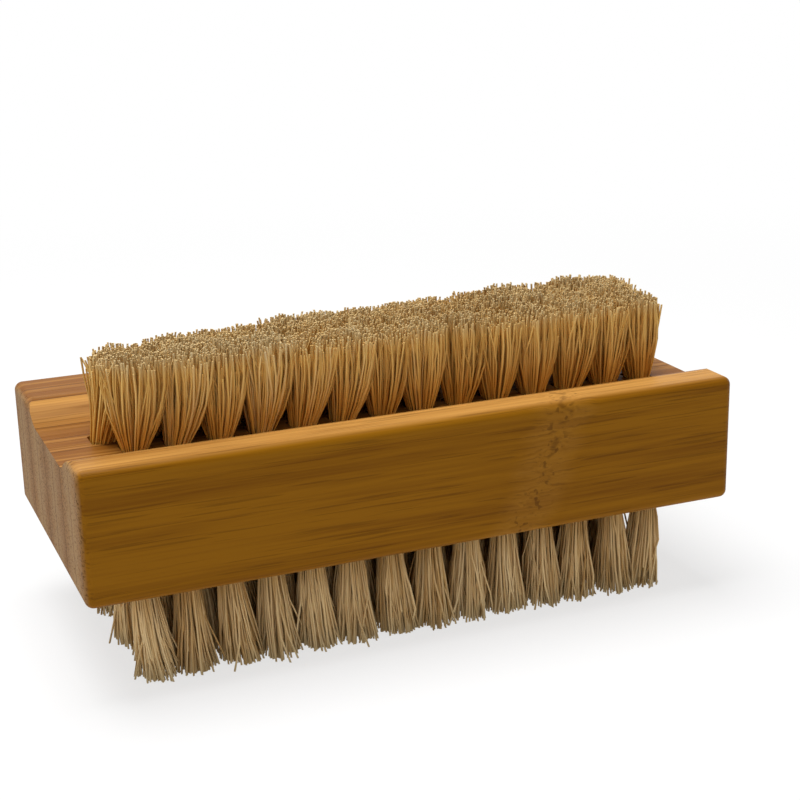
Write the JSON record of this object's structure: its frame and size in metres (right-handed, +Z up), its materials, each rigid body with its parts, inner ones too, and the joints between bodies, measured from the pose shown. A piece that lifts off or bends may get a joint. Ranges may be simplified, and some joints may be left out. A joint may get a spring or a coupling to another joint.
{
  "type": "nail brush",
  "caption": "Two-sided nail brush: a glued bamboo block with rounded edges and a trough along its top, with short fibre tufts in the trough and a longer field underneath.",
  "frame": {"origin": "under the middle of the block, on the surface that the lower tips stand on", "axes": "+X along the block, +Y from the narrow front ridge to the wide back ridge, +Z up"},
  "size_m": [0.0966, 0.0464, 0.0444],
  "materials": {
    "bamboo": "caramelised bamboo, satin oil",
    "fibre": "straw-coloured plant fibre",
    "anchor_wire": "drawn flat wire"
  },
  "bodies": {
    "root": {"bamboo_strip_1": "bamboo", "bamboo_strip_2": "bamboo", "bamboo_strip_3": "bamboo", "bamboo_strip_4": "bamboo", "bamboo_strip_5": "bamboo", "bamboo_strip_6": "bamboo", "bamboo_strip_7": "bamboo", "bamboo_strip_8": "bamboo", "top_tuft_row_1": "fibre", "top_tuft_row_2": "fibre", "top_tuft_row_3": "fibre", "bottom_tuft_row_1": "fibre", "bottom_tuft_row_2": "fibre", "bottom_tuft_row_3": "fibre", "bottom_tuft_row_4": "fibre", "bottom_tuft_row_5": "fibre", "bottom_tuft_row_6": "fibre", "top_anchor_row_1": "anchor_wire", "top_anchor_row_2": "anchor_wire", "top_anchor_row_3": "anchor_wire", "bottom_anchor_row_1": "anchor_wire", "bottom_anchor_row_2": "anchor_wire", "bottom_anchor_row_3": "anchor_wire", "bottom_anchor_row_4": "anchor_wire", "bottom_anchor_row_5": "anchor_wire", "bottom_anchor_row_6": "anchor_wire"}
  },
  "joints": []
}
